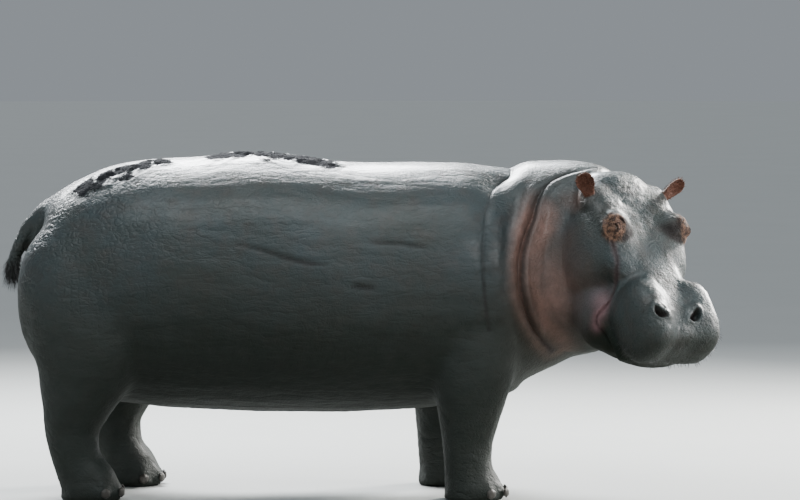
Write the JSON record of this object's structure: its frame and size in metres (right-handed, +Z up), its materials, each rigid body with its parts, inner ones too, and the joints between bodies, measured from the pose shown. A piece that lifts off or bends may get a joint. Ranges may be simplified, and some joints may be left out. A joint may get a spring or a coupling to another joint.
{
  "type": "hippopotamus",
  "caption": "Life-size standing hippopotamus, a still museum-like model with its head turned aside and lowered.",
  "frame": {"origin": "on the floor, below the middle of the whole animal's box", "axes": "+X the way the body faces, +Y the animal's left side, +Z up; the floor is z = 0"},
  "size_m": [2.9708, 1.2242, 1.4291],
  "materials": {
    "skin": "wet satin",
    "ear_skin": "satin",
    "eye": "glossy",
    "toenail": "satin"
  },
  "bodies": {
    "root": {"trunk": "skin", "neck": "skin", "head": "skin", "tail": "skin", "leg_front_right": "skin", "leg_front_left": "skin", "leg_hind_right": "skin", "leg_hind_left": "skin", "ear_right": "ear_skin", "ear_left": "ear_skin", "eye_right": "eye", "eye_left": "eye", "nail_front_right_1": "toenail", "nail_front_right_2": "toenail", "nail_front_right_3": "toenail", "nail_front_right_4": "toenail", "nail_front_left_1": "toenail", "nail_front_left_2": "toenail", "nail_front_left_3": "toenail", "nail_front_left_4": "toenail", "nail_hind_right_1": "toenail", "nail_hind_right_2": "toenail", "nail_hind_right_3": "toenail", "nail_hind_right_4": "toenail", "nail_hind_left_1": "toenail", "nail_hind_left_2": "toenail", "nail_hind_left_3": "toenail", "nail_hind_left_4": "toenail"}
  },
  "joints": []
}
